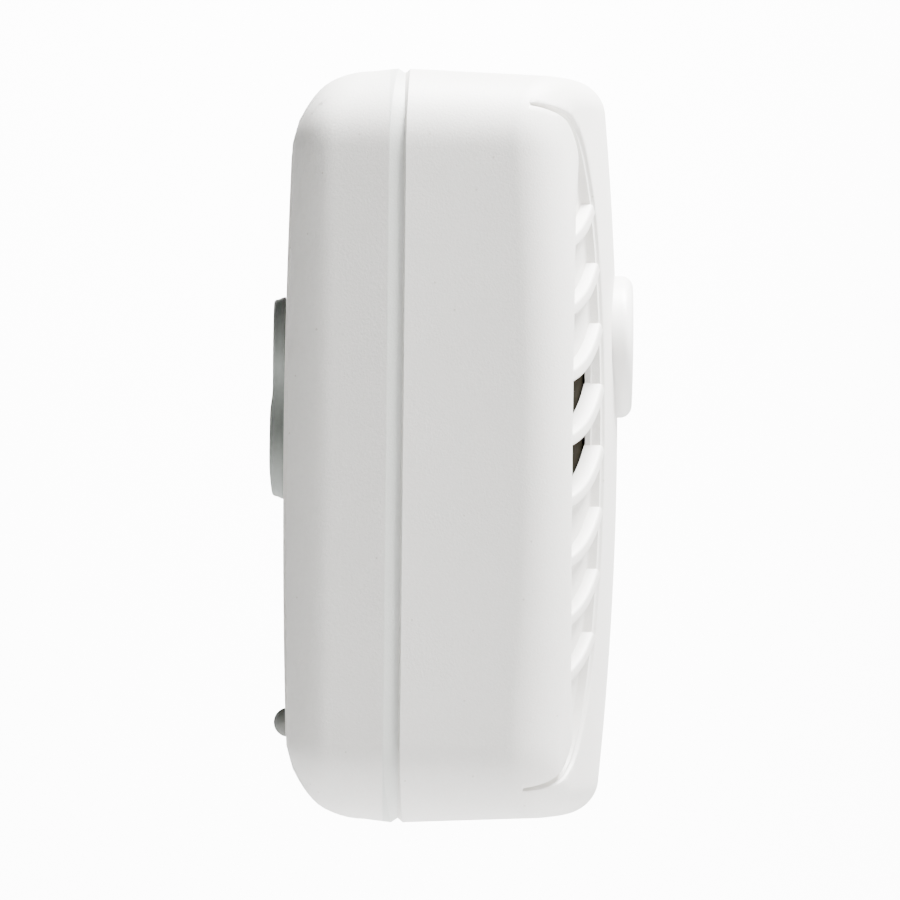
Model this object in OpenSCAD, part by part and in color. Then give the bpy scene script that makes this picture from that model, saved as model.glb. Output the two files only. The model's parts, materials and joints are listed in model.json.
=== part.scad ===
// Wall-hung alarm siren: a two-shell case that slides down onto a small wall bracket.
// X is the width, -Y the front, +Y the wall, +Z up. The origin is the middle of the
// bracket's two screw holes, on the face that lies against the wall.

/* [Case] */
// Width of the case at the seam
case_w = 76; // [74:0.5:80]
// Height of the case at the seam
case_h = 120; // [118:0.5:126]
// Depth from the wall face to the furthest point of the front
case_d = 56.1; // [54:0.1:58]
// Depth from the wall face to the seam between the two shells
seam_d = 21.4; // [20.5:0.1:22.5]
// Gap from the wall face to the flat back of the case
back_gap = 2.65; // [2.4:0.05:3]
// Thickness of the shells
wall = 2.8; // [2.4:0.1:3]
// Radius of the case's corners as seen from the front
corner_r = 13; // [11:0.5:14]
// Height of the case's centre over the origin
case_z = -7.5; // [-8:0.1:-7]

/* [Front] */
// Radius of the front's crown across the width
crown_across = 70; // [66:1:80]
// Radius of the front's crown over the height
crown_up = 580; // [500:10:700]
// Distance from the centre line to the louvred recess
band_half = 18.7; // [18:0.1:19.5]
// Depth of the louvred recess
recess_d = 2; // [1.6:0.1:2]
// Radius of each curved louvre's upper face
louvre_r = 26; // [25:0.2:28]
// Thickness of a louvre
louvre_t = 2; // [1.7:0.1:2.2]

/* [Button] */
// Diameter of the test button
button_d = 22.9; // [22:0.1:23.5]
// Height of the button over the case's centre
button_z = 16.3; // [16:0.1:17]
// How far the button stands out of the front
button_rise = 2.5; // [2.2:0.1:2.8]
// Travel of the button
button_travel = 1.2; // [0.8:0.1:1.4]

/* [Bracket] */
// Distance between the two screw holes
bracket_pitch = 16; // [16:0.1:16]
// Diameter of each screw hole
bracket_hole_d = 4; // [3.6:0.1:4.2]
// Distance that the case lifts to come off the bracket
lift = 5; // [4.8:0.1:5]

/* [Hidden] */
$fn = 64;

// Case shell
front_draft = 0.9;
rear_draft = 0.5;
round_side = [6, 8];      // edge radius along the sides, front and rear
round_end = [5.2, 13.4];  // edge radius along the top and bottom, front and rear
rim_side = [0.3, 2.4];    // width of the seam chamfer along the sides, front and rear
rim_end = [0.8, 1.1];     // width of the seam chamfer along the ends, front and rear
rim_depth = 0.7;
arc_steps = 5;
side_steps = 5;
round_steps = 5;
cap_steps = 4;

// Louvres
louvre_cx = 38.6;
louvre_end_x = 32.2;
louvre_count = 8;
first_louvre_z = 31.1;
louvre_pitch = 10.6;
louvre_pitch_loss = 0.1;
ledge_w = 0.9;
ledge_d = 0.5;
// Inner and outer edge of the recess from its middle to its upper tip; the lower half mirrors it
inner_edge = [[18.7, 0], [19, 16], [19.9, 29], [21, 37], [22.5, 42.6], [24.9, 48.3], [27.6, 51.5],
    [30.6, 53.3], [34.2, 54.5]];
outer_edge = [[32.2, 0], [31.8, 15], [30.8, 26.6], [29.4, 36.5], [27.8, 42.5], [27, 46.8], [28.8, 50.2],
    [31.2, 52.3], [34.4, 54.1]];
open_gaps = [2, 3];       // the gaps under these louvres go right through
gap_x = 19.1;

// Screws and bosses
case_screw_x = 28.5;
case_screw_z = 48.5;
case_screw_d = 2.9;
boss_d = 7;
board_screw_x = 26;
board_screw_z = 38;
board_screw_d = 2;

// Circuit board
board_back = -28;
board_t = 1.6;
board_front = board_back - board_t;
board_w = 60;
board_h = 88;

// Bracket studs
lobe_r = [8.3, 8.4];      // upper and lower
stud_d = 5.4;
stud_head_d = 8.2;
stud_head_t = 1.4;
slide_gap = 0.3;

// Battery bay
battery_size = [48.5, 17.5, 26.5];
bay_z = -28.1;
bay_wall = 1.5;
bay_end_wall = 2.5;
door_t = 2;
hinge_r = 1.95;
hinge_x = 26.4;
hinge_y = -back_gap - hinge_r;
hinge_pin_d = 1.6;
running_gap = 0.05;
door_gap = 0.3;
door_half_h = 13.6;
battery_back = -back_gap - door_t - 0.7;
battery_mid = battery_back - battery_size[1] / 2;
snap_half = 6.35;

// Sounder
sounder_z = -19;
chamber_r = 21;
chamber_front = -48.5;
chamber_back = -36;
ledge_y = -41;
piezo_d = 35;

eps = 0.01;

// ---- Helpers -------------------------------------------------------------------------

module in_case() { translate([0, 0, case_z]) children(); }

// Extrudes a shape drawn in X and Z from depth `back` to depth `front`, both negative in Y
module slab(back, front) {
    translate([0, back, 0]) rotate([90, 0, 0]) linear_extrude(back - front) children();
}

// A rod along Y
module rod(x, z, back, front, d) {
    translate([x, back, z]) rotate([90, 0, 0]) cylinder(h = back - front, d = d);
}

// A box given by its lowest and highest corners
module block(low, high) { translate(low) cube(high - low); }

module both_sides() {
    children();
    mirror([1, 0, 0]) children();
}

module four_corners(x, z) {
    for (sx = [-1, 1], sz = [-1, 1]) translate([sx * x, 0, sz * z]) children();
}

// A round wire swept along a list of points
module wire(points, d, sides = 8) {
    last = len(points) - 1;
    function along(i) = points[min(i + 1, last)] - points[max(i - 1, 0)];
    function unit(v) = v / norm(v);
    function across(i) = unit(cross(along(i), [0.31, 0.17, 0.93]));
    function ring(i) = let (u = across(i), v = unit(cross(along(i), u)))
        [for (k = [0:sides - 1]) points[i] + d / 2 * (u * cos(360 * k / sides) + v * sin(360 * k / sides))];
    polyhedron(
        points = [for (i = [0:last]) each ring(i)],
        faces = concat(
            [[for (k = [0:sides - 1]) k]],
            [for (i = [0:last - 1], k = [0:sides - 1]) each let (m = (k + 1) % sides, a = i * sides, b = a + sides)
                [[a + k, b + k, b + m], [a + k, b + m, a + m]]],
            [[for (k = [sides - 1:-1:0]) last * sides + k]]
        )
    );
}

// ---- Case surface --------------------------------------------------------------------

// Each station round the outline is a corner number, an angle within it, and the share of
// the way along the straight side that follows the corner.
stations = [for (k = [0:3]) each concat(
    [for (i = [0:arc_steps]) [k, 90 * i / arc_steps, 0]],
    [for (i = [1:side_steps - 1]) [k, 90, i / side_steps]]
)];
station_count = len(stations);

function corner_point(k, angle, inset) =
    let (
        r = max(corner_r - inset, 0.4),
        a = case_w / 2 - inset - r,
        b = case_h / 2 - inset - r,
        sx = (k == 0 || k == 3) ? 1 : -1,
        sz = (k < 2) ? 1 : -1
    )
    [sx * a + r * cos(90 * k + angle), sz * b + r * sin(90 * k + angle)];

function outline_point(s, inset) =
    let (p = corner_point(s[0], s[1], inset), q = corner_point((s[0] + 1) % 4, 0, inset))
    p + (q - p) * s[2];

// 0 along the sides and 1 along the top and bottom
function end_share(s) = pow(sin(90 * s[0] + s[1]), 2);
function mix(pair_side, pair_end, half, s) =
    pair_side[half] + (pair_end[half] - pair_side[half]) * end_share(s);

function crown(p) = -case_d + p[0] * p[0] / (2 * crown_across) + p[1] * p[1] / (2 * crown_up);

// Depth of a face point. half is 0 for the front shell and 1 for the rear one.
function face_y(half, p) = half == 0 ? crown(p) : -back_gap;
function inward(half) = half == 0 ? 1 : -1;
function draft(half) = half == 0 ? front_draft : rear_draft;

// One ring of the edge rounding, turned by angle from the side wall towards the face
function round_ring(half, t, angle) = [for (s = stations)
    let (
        r = mix(round_side, round_end, half, s) - t,
        p = outline_point(s, t + draft(half) + r * (1 - cos(angle)))
    )
    [p[0], face_y(half, p) + inward(half) * (t + r * (1 - sin(angle))), p[1]]];

function cap_ring(half, t, share) = [for (s = stations)
    let (
        start = t + draft(half) + mix(round_side, round_end, half, s) - t,
        p = outline_point(s, start + (case_w / 2 - 0.5 - start) * share)
    )
    [p[0], face_y(half, p) + inward(half) * t, p[1]]];

function seam_ring(half, inset, width_share) = [for (s = stations)
    let (p = outline_point(s, inset))
    [p[0], -seam_d - inward(half) * mix(rim_side, rim_end, half, s) * width_share, p[1]]];

// The rings of one shell's surface, inset by t. With t above 0 the mouth runs past the seam.
function skin_rings(half, t) = concat(
    t > 0
        ? [[for (s = stations) let (p = outline_point(s, t)) [p[0], -seam_d + inward(half) * 5, p[1]]]]
        : [seam_ring(half, rim_depth, 0), seam_ring(half, 0, 1)],
    [for (i = [0:round_steps]) round_ring(half, t, 90 * i / round_steps)],
    half == 0 ? [for (i = [1:cap_steps]) cap_ring(half, t, i / cap_steps)] : []
);

function ring_faces(rows, n) = [for (j = [0:rows - 2], i = [0:n - 1])
    let (m = (i + 1) % n, a = j * n, b = a + n)
    each [[a + i, b + i, b + m], [a + i, b + m, a + m]]];

function flipped(faces, half) =
    half == 0 ? faces : [for (f = faces) [for (i = [len(f) - 1:-1:0]) f[i]]];

module skin(half, t) {
    rings = skin_rings(half, t);
    rows = len(rings);
    n = station_count;
    hub = rows * n;
    faces = concat(
        ring_faces(rows, n),
        [for (i = [0:n - 1]) [hub + 1, i, (i + 1) % n]],
        [for (i = [0:n - 1]) [hub, hub - n + (i + 1) % n, hub - n + i]]
    );
    polyhedron(
        points = concat([for (r = rings) each r],
            [[0, face_y(half, [0, 0]) + inward(half) * t, 0], [0, rings[0][0][1], 0]]),
        faces = flipped(faces, half)
    );
}

// The whole of one edge, from the lower tip to the upper one
function both_ends(edge) = concat([for (i = [len(edge) - 1:-1:1]) [edge[i][0], -edge[i][1]]], edge);

// Outline of one side's recess as seen from the front: a leaf with a narrow tail at each end
module recess_outline(inner_x) {
    shift = inner_x - inner_edge[0][0];
    function tail(z) = min(1, max(0.1, (55.4 - abs(z)) / 5));
    inner = [for (p = curve(both_ends(inner_edge), 3)) [p[0] + shift * tail(p[1]), p[1]]];
    outer = curve(both_ends(outer_edge), 3);
    polygon(concat(inner, [for (i = [len(outer) - 1:-1:0]) outer[i]]));
}

// A crescent seen from the front: an inner arc through the tips and a flatter outer one
module crescent(inner_x, outer_x, tx, tz) {
    inner_r = (pow(tx - inner_x, 2) + tz * tz) / (2 * (tx - inner_x));
    outer_r = (pow(outer_x - tx, 2) + tz * tz) / (2 * (outer_x - tx));
    intersection() {
        translate([inner_x + inner_r, 0]) circle(r = inner_r, $fn = 240);
        translate([outer_x - outer_r, 0]) circle(r = outer_r, $fn = 256);
        translate([0, -case_h / 2]) square([case_w / 2, case_h]);
    }
}

louvre_outer_r = louvre_r + louvre_t;
louvre_hang = sqrt(pow(louvre_outer_r, 2) - pow(louvre_cx - louvre_end_x, 2));

// Height of the middle of each louvre's arc, from the height of its outer end
function louvre_z(i) = first_louvre_z - louvre_pitch * i + louvre_pitch_loss * i * i + louvre_hang;

// One curved louvre, which runs from the middle band down and out to the side
module louvre(i) {
    translate([louvre_cx, louvre_z(i)]) intersection() {
        difference() {
            circle(r = louvre_outer_r, $fn = 240);
            circle(r = louvre_r, $fn = 240);
        }
        translate([-louvre_outer_r - 1, -louvre_outer_r - 1]) square([louvre_outer_r, louvre_outer_r]);
    }
}

// The open gap between one louvre and the next, near their outer ends
module louvre_gap(i) {
    intersection() {
        translate([-0.8, 0]) recess_outline(band_half);
        difference() {
            translate([louvre_cx, louvre_z(i + 1)]) circle(r = louvre_r, $fn = 240);
            translate([louvre_cx, louvre_z(i)]) circle(r = louvre_outer_r, $fn = 240);
        }
        translate([gap_x, louvre_z(i + 1) - louvre_hang - 3]) square([10, 24]);
    }
}

// ---- Case ----------------------------------------------------------------------------

module front_cover() {
    color("white") in_case() difference() {
        union() {
            difference() {
                skin(0, 0);
                skin(0, wall);
            }
            intersection() {
                skin(0, wall / 2);
                union() {
                    four_corners(case_screw_x, case_screw_z) rod(0, 0, -seam_d - 2.6, -case_d, boss_d);
                    four_corners(board_screw_x, board_screw_z) rod(0, 0, board_front, -case_d, 5);
                    rod(0, button_z, -case_d + 9, -case_d, button_d + 4);
                    rod(0, 36, -case_d + 8, -case_d, 6);
                }
            }
        }
        four_corners(case_screw_x, case_screw_z) rod(0, 0, -seam_d, -38, 2.4);
        four_corners(board_screw_x, board_screw_z) rod(0, 0, board_front + 1, -38, 1.6);
        rod(0, button_z, -seam_d, -case_d - 5, button_d + 0.6);
        rod(0, 36, -seam_d, -case_d - 5, 3.2);
        both_sides() {
            recess_cut(band_half - ledge_w, ledge_d, false);
            recess_cut(band_half, recess_d, true);
            for (i = open_gaps) slab(-seam_d - 8, -case_d - 1) louvre_gap(i);
        }
    }
}

// Sinks the crescent below the crowned front, leaving the louvres standing
module recess_cut(inner_x, depth, with_louvres) {
    difference() {
        slab(-seam_d - 10, -case_d - 1) difference() {
            recess_outline(inner_x);
            if (with_louvres) for (i = [0:louvre_count - 1]) louvre(i);
        }
        skin(0, depth);
    }
}

module rear_cover() {
    bay_x = battery_size[0] / 2;
    bay_front = battery_back - battery_size[1] - 0.2;
    bay_top = bay_z + battery_size[2] / 2 + 0.2;
    bay_bottom = bay_z - battery_size[2] / 2 - 0.2;
    color("white") in_case() difference() {
        union() {
            difference() {
                skin(1, 0);
                skin(1, wall);
            }
            seam_lip();
            intersection() {
                skin(1, wall / 2);
                four_corners(case_screw_x, case_screw_z) rod(0, 0, -back_gap, -seam_d - 2.5, boss_d);
            }
            four_corners(case_screw_x, case_screw_z) rod(0, 0, -back_gap - 9, -seam_d - 2.5, boss_d);
            block([-bay_x - 5.5, bay_front - bay_wall, bay_bottom - bay_end_wall],
                  [bay_x + 6, -back_gap - wall / 2, bay_top + bay_end_wall]);
        }
        four_corners(case_screw_x, case_screw_z) {
            rod(0, 0, 1, -30, case_screw_d + 0.4);
            rod(0, 0, 1, -back_gap - 10, 6);
        }
        // Bay for the battery, with the contact plate's pocket at the -X end
        block([-bay_x - 0.3, bay_front, bay_bottom], [bay_x + 0.3, 1, bay_top]);
        block([-bay_x - 4.1, bay_front, bay_bottom], [-bay_x, -back_gap - door_t - 0.5, bay_top]);
        block([-bay_x - 7, bay_front + 2, bay_z - 8], [-bay_x - 4, bay_front + 8, bay_z + 8]);
        // Door seat and the round groove of its hinge
        block([-bay_x - 1.3, -back_gap - door_t - 0.1, bay_z - door_half_h - door_gap],
              [hinge_x, 1, bay_z + door_half_h + door_gap]);
        block([hinge_x - 1, hinge_y, bay_z - door_half_h - door_gap],
              [hinge_x + hinge_r + door_gap, 1, bay_z + door_half_h + door_gap]);
        translate([hinge_x, hinge_y, bay_z - door_half_h - door_gap])
            cylinder(h = 2 * (door_half_h + door_gap), r = hinge_r + door_gap);
        translate([hinge_x, hinge_y, bay_z - door_half_h - 1.3])
            cylinder(h = 2 * door_half_h + 2.6, d = hinge_pin_d);
        // Keyholes for the bracket's studs
        for (sz = [-1, 1]) keyhole(-case_z + sz * bracket_pitch / 2);
        // Seat of the bumper
        rod(0, bumper_z, 1, -back_gap - wall - 1, bumper_stem_d);
        both_sides() grip_cut();
    }
}

bumper_z = -44.9;
bumper_r = 2.6;
bumper_stem_d = 3;

// A shallow crescent along each side of the back, to grip the case by
module grip_cut() {
    difference() {
        slab(1, -18) crescent(29, 32.6, 31, 55);
        skin(1, 0.8);
    }
}

// The rear shell's lip, which stands inside the front shell
module seam_lip() {
    module band(inset) polygon([for (s = stations) outline_point(s, inset)]);
    slab(-seam_d + 4, -seam_d + 0.5) difference() {
        band(wall - 0.6);
        band(wall + 1.5);
    }
    slab(-seam_d + 1, -seam_d - 1.8) difference() {
        band(wall + 0.3);
        band(wall + 1.5);
    }
}

module keyhole(z) {
    slot = stud_d + 2 * slide_gap;
    rod(0, z - lift, 1, -10, stud_head_d + 2 * slide_gap);
    rod(0, z, 1, -10, slot);
    block([-slot / 2, -10, z - lift], [slot / 2, 1, z]);
}

module case_screws() {
    color("silver") in_case() four_corners(case_screw_x, case_screw_z) difference() {
        union() {
            rod(0, 0, -back_gap - 8, -back_gap - 10, 5.4);
            rod(0, 0, -back_gap - 10, -36, 2.6);
        }
        block([-0.4, -back_gap - 9.2, -2], [0.4, 0, 2]);
        block([-2, -back_gap - 9.2, -0.4], [2, 0, 0.4]);
    }
}

module rear_bumper() {
    color("gray") in_case() translate([0, -back_gap, bumper_z]) {
        intersection() {
            sphere(r = bumper_r);
            block([-3, 0, -3], [3, 3, 3]);
        }
        rod(0, 0, 0, -wall - 0.6, bumper_stem_d);
    }
}

// ---- Bracket -------------------------------------------------------------------------

module wall_bracket() {
    z = bracket_pitch / 2;
    head_front = -back_gap - wall - slide_gap - stud_head_t;
    color("darkgray") difference() {
        union() {
            slab(-0.35, -back_gap + slide_gap) peanut(z);
            slab(0, -1) intersection() {
                peanut(z);
                translate([-10, -20]) square([20, 20]);
            }
            for (sz = [-1, 1]) {
                rod(0, sz * z, -1, head_front, stud_d);
                rod(0, sz * z, -back_gap - wall - slide_gap, head_front, stud_head_d);
            }
        }
        for (sz = [-1, 1]) rod(0, sz * z, 1, head_front - 1, bracket_hole_d);
    }
}

// Two round lobes joined by a waist with concave sides
module peanut(z) {
    waist_half = 6.6;
    fillet_r = 9;
    difference() {
        union() {
            translate([0, z]) circle(r = lobe_r[0]);
            translate([0, -z]) circle(r = lobe_r[1]);
            square([2 * waist_half + 3, z], center = true);
        }
        for (sx = [-1, 1]) translate([sx * (waist_half + fillet_r), 0]) circle(r = fillet_r);
    }
}

// ---- Battery door --------------------------------------------------------------------

module battery_door() {
    left = -battery_size[0] / 2 - 1;
    color("white") in_case() translate([0, 0, bay_z]) difference() {
        union() {
            block([left, -back_gap - door_t, -door_half_h], [hinge_x, -back_gap, door_half_h]);
            translate([hinge_x, hinge_y, -door_half_h]) cylinder(h = 2 * door_half_h, r = hinge_r);
        }
        translate([hinge_x, hinge_y, -door_half_h - 1])
            cylinder(h = 2 * door_half_h + 2, d = hinge_pin_d + 2 * running_gap);
        // Finger notch at the free end
        translate([left, -back_gap + 0.6, 0]) sphere(r = 3.2);
        // Grip grooves
        for (i = [0:3]) block([left + 5 + 1.6 * i, -back_gap - 0.5, -6], [left + 5.7 + 1.6 * i, 1, 6]);
    }
}

module door_hinge_pin() {
    color("silver") in_case() translate([hinge_x, hinge_y, bay_z - door_half_h - 1.2])
        cylinder(h = 2 * door_half_h + 2.4, d = hinge_pin_d);
}

// ---- Button and switch ---------------------------------------------------------------

switch_h = 3.4;
stem_end = board_front - switch_h - 3.2;
collar_back = -case_d + 9;
tab_front = collar_back + 0.3;
tab_t = 1.5;

module test_button() {
    cap_back = crown([0, button_z]) + 3;
    edge = 1.9;
    color("white") in_case() union() {
        translate([0, cap_back, button_z]) rotate([90, 0, 0]) rotate_extrude() polygon(concat(
            [[0, 0], [button_d / 2, 0]],
            [for (a = [0:15:90]) [button_d / 2 - edge * (1 - cos(a)), 3 + button_rise - edge * (1 - sin(a))]],
            [[0, 3 + button_rise + 0.15]]
        ));
        rod(0, button_z, tab_front + tab_t, cap_back - eps, 12);
        rod(0, button_z, stem_end, tab_front + tab_t - eps, 5);
        // Tabs that keep the button in its collar
        for (a = [0:120:240]) translate([0, 0, button_z]) rotate([0, a, 0])
            block([-1.5, tab_front, 4], [1.5, tab_front + tab_t, 13]);
    }
}

module button_spring() {
    turns = 5;
    steps = 14;
    low = board_front - 0.35;
    high = tab_front + tab_t + 0.35;
    last = turns * steps;
    color("silver") in_case() translate([0, 0, button_z]) wire([for (i = [0:last])
        [5.2 * cos(360 * i / steps), low + (high - low) * i / last, 5.2 * sin(360 * i / steps)]], 0.6);
}

module switch_body() {
    color("black") in_case() difference() {
        block([-3.1, board_front - switch_h, button_z - 3.1], [3.1, board_front, button_z + 3.1]);
        rod(0, button_z, board_front - 0.8, board_front - switch_h - 1, 3.6);
    }
}

module switch_plunger() {
    color("black") in_case() rod(0, button_z, board_front - 2.4, stem_end + 0.3, 3.6 - 2 * running_gap);
}

// ---- Sounder -------------------------------------------------------------------------

module ring(back, front, outer_r, inner_r) {
    translate([0, 0, sounder_z]) difference() {
        rod(0, 0, back, front, 2 * outer_r);
        rod(0, 0, back + 1, front - 1, 2 * inner_r);
    }
}

module sound_chamber() {
    color("black") in_case() union() {
        ring(chamber_back, chamber_front, chamber_r, chamber_r - 1.5);
        ring(ledge_y, ledge_y - 1, chamber_r - 1, piezo_d / 2 - 1.2);
        ring(chamber_back, chamber_back - 1.2, chamber_r - 1, 15);
        for (a = [90, 210, 330]) translate([0, 0, sounder_z])
            rod(18 * cos(a), 18 * sin(a), board_front, chamber_back - eps, 4);
    }
}

module piezo_plate() {
    color("gold") in_case() rod(0, sounder_z, ledge_y + 0.25, ledge_y, piezo_d);
}

module piezo_ceramic() {
    color("ivory") in_case() rod(0, sounder_z, ledge_y + 0.5, ledge_y + 0.25, 25);
}

module piezo_clamp_ring() {
    color("dimgray") in_case() ring(ledge_y + 2.2, ledge_y + 0.25, chamber_r - 1.7, piezo_d / 2 - 1);
}

// Thin black liners close behind the open gaps between louvres, bowed like the front
module sound_liners() {
    xs = [for (i = [0:9]) 17.5 + 1.5 * i];
    function behind(x, gap) = [x, crown([x, 0]) + wall + gap];
    color("black") in_case() both_sides() difference() {
        translate([0, 0, -14]) linear_extrude(32)
            polygon(concat([for (x = xs) behind(x, 0.6)], [for (i = [9:-1:0]) behind(xs[i], 1.2)]));
        for (i = [0:5], j = [0:1]) rod(24.5 + 4 * j, -10.5 + 5 * i, -40, -55, 1.2);
    }
}

// Smooth curve through the given points
function curve(p, steps) = [for (i = [0:len(p) - 2], k = [0:(i == len(p) - 2 ? steps : steps - 1)])
    let (
        a = p[max(i - 1, 0)], b = p[i], c = p[i + 1], d = p[min(i + 2, len(p) - 1)], t = k / steps
    )
    0.5 * (2 * b + (c - a) * t + (2 * a - 5 * b + 4 * c - d) * t * t + (3 * b - a - 3 * c + d) * t * t * t)];

module sounder_leads() {
    z = sounder_z;
    color("red") in_case() {
        wire(curve([[3, ledge_y + 0.6, z], [3, -38, z], [2, -33.6, z + 3], [-6, -32.4, z + 7],
            [-15, -32, z + 10], [-21.8, -31.6, z + 11], [-23.5, board_front - 0.95, z + 11]], 4), 1);
        wire(curve([[-14, ledge_y + 0.4, z - 2], [-13.2, -38.4, z - 2], [-12.6, -34, z - 1],
            [-15, -32, z + 2.5], [-21.4, -31.4, z + 6], [-23.5, board_front - 0.95, z + 7]], 4), 1);
    }
}

// ---- Circuit board -------------------------------------------------------------------

module circuit_board() {
    color("green") in_case() difference() {
        block([-board_w / 2, board_front, -board_h / 2], [board_w / 2, board_back, board_h / 2]);
        four_corners(board_screw_x, board_screw_z) rod(0, 0, -20, -40, 2.4);
    }
}

module board_screws() {
    color("silver") in_case() four_corners(board_screw_x, board_screw_z) difference() {
        union() {
            rod(0, 0, board_back + 1.4, board_back, 4.4);
            rod(0, 0, board_back, -36, board_screw_d);
        }
        block([-0.35, board_back + 0.7, -1.5], [0.35, 0, 1.5]);
        block([-1.5, board_back + 0.7, -0.35], [1.5, 0, 0.35]);
    }
}

module light_pipe() {
    tip = crown([0, light_z]) + 0.15;
    color("lightyellow") in_case() rod(0, light_z, -37, tip, 3);
}

light_z = 36;

module status_led() {
    color("red") in_case() translate([0, board_front, light_z]) {
        rod(0, 0, 0, -1, 3.8);
        rod(0, 0, -1 + eps, -3.7, 3);
        translate([0, -3.7, 0]) sphere(r = 1.5);
    }
}

coil_at = [-15, 31];

module step_up_coil() {
    color("peru") in_case() translate([coil_at[0], board_front, coil_at[1]]) difference() {
        rod(0, 0, -1.5, -8.4, 10.4);
        rod(0, 0, 0, -10, 6.2);
    }
}

module coil_core() {
    color("dimgray") in_case() translate([coil_at[0], board_front, coil_at[1]]) union() {
        rod(0, 0, 0, -1.4, 12);
        rod(0, 0, -1.4 + eps, -8.5 - eps, 6);
        rod(0, 0, -8.5, -9.9, 12);
    }
}

module reservoir_capacitor() {
    color("navy") in_case() translate([15, board_front, 31]) difference() {
        rod(0, 0, 0, -12, 8);
        translate([0, -2, 0]) rotate([90, 0, 0]) rotate_extrude() translate([4.1, 0]) circle(r = 0.45);
        block([-2.6, -13, -0.15], [2.6, -11.8, 0.15]);
        block([-0.15, -13, -2.6], [0.15, -11.8, 2.6]);
    }
}

module controller_chip() {
    color("black") in_case() translate([-22, board_front, 10]) union() {
        block([-3.5, -1.9, -3.9], [3.5, -0.3, 3.9]);
        for (i = [-3:3]) {
            block([-4.8, -0.5, 1.1 * i - 0.2], [4.8, -0, 1.1 * i + 0.2]);
        }
    }
}

module radio_module() {
    color("blue") in_case() block([18, board_front - 1, 2], [29, board_front, 20]);
}

module radio_shield() {
    color("silver") in_case() block([19, board_front - 3.2, 4], [28, board_front - 1, 13]);
}

module antenna_coil() {
    steps = 12;
    last = 6 * steps;
    color("peru") in_case() translate([22, board_front - 3.2, 21.5]) wire(concat(
        [[2.2, 1.8, -3], [2.2, 0.9, -2.6]],
        [for (i = [0:last]) [2.2 * cos(360 * i / steps), 2.2 * sin(-360 * i / steps), -2 + 12 * i / last]]
    ), 0.8);
}

module board_terminals() {
    color("silver") in_case() union() {
        for (z = [0, 4]) rod(-26.5, lead_top + z, board_back + 2.2, board_back, 2);
        for (z = [7, 11]) block([-25, board_front - 0.4, sounder_z + z - 1.5], [-22, board_front, sounder_z + z + 1.5]);
    }
}

// ---- Battery -------------------------------------------------------------------------

lead_top = bay_z + 19.5;

module battery() {
    size = battery_size;
    color("dimgray") in_case() translate([0, battery_mid, bay_z]) difference() {
        block(-size / 2, size / 2);
        for (sy = [-1, 1], sz = [-1, 1]) translate([-size[0], sy * (size[1] / 2 - 2), sz * (size[2] / 2 - 2)])
            difference() {
                block([0, min(0, sy * 3), min(0, sz * 3)], [2 * size[0], max(0, sy * 3), max(0, sz * 3)]);
                rotate([0, 90, 0]) cylinder(h = 2 * size[0], r = 2);
            }
    }
}

// A short cylinder along X between two positions
module button_along_x(x, z, length, d) {
    translate([x, battery_mid, bay_z + z]) rotate([0, 90, 0]) cylinder(h = length, d = d);
}

module battery_terminals() {
    x = -battery_size[0] / 2;
    color("silver") in_case() {
        button_along_x(x - 2.4, snap_half, 2.4, 5.7);
        difference() {
            button_along_x(x - 2.4, -snap_half, 2.4, 8.6);
            button_along_x(x - 3, -snap_half, 2.6, 6.1);
        }
    }
}

module snap_contacts() {
    x = -battery_size[0] / 2 - 3.05;
    color("silver") in_case() {
        button_along_x(x, -snap_half, 2.4, 5.6);
        difference() {
            button_along_x(x, snap_half, 2.4, 8.4);
            button_along_x(x + 0.4, snap_half, 3, 6);
        }
    }
}

module contact_plate() {
    x = -battery_size[0] / 2 - 3.05;
    color("tan") in_case() translate([0, battery_mid, bay_z]) block([x - 1, -7, -12.5], [x, 7, 12.5]);
}

module battery_leads() {
    y = battery_mid - 3;
    x = -battery_size[0] / 2 - 4.2;
    color("black") in_case() for (k = [0, 4]) {
        wire(curve([[x + 0.3, y, bay_z + k - 1], [x - 1.6, y, bay_z + k - 0.6], [x - 3.1, y - 1, bay_z + k + 1],
            [x - 3.5, -21, bay_z + k + 5], [x - 3.4, -24, bay_z + k + 10], [x - 2.6, -26.4, bay_z + k + 15],
            [x - 0.6, -27, lead_top + k - 1], [-26.8, -26.9, lead_top + k]], 3), 1.3);
    }
}

module bay_pad() {
    color("dimgray") in_case() translate([0, -back_gap - door_t, bay_z])
        block([-14, -0.5, -8], [14, 0, 8]);
}

// ---- Parts ---------------------------------------------------------------------------

wall_bracket();
rear_cover();
front_cover();
test_button();
battery_door();
door_hinge_pin();
rear_bumper();
case_screws();
light_pipe();
sound_chamber();
piezo_plate();
piezo_ceramic();
piezo_clamp_ring();
sounder_leads();
circuit_board();
board_screws();
switch_body();
switch_plunger();
button_spring();
status_led();
step_up_coil();
coil_core();
reservoir_capacitor();
controller_chip();
radio_module();
radio_shield();
antenna_coil();
battery();
battery_terminals();
contact_plate();
snap_contacts();
battery_leads();
board_terminals();
bay_pad();
sound_liners();
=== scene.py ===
import bmesh
import bpy
import json
import math
import numpy as np
import random
from mathutils import Vector, Matrix


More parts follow.
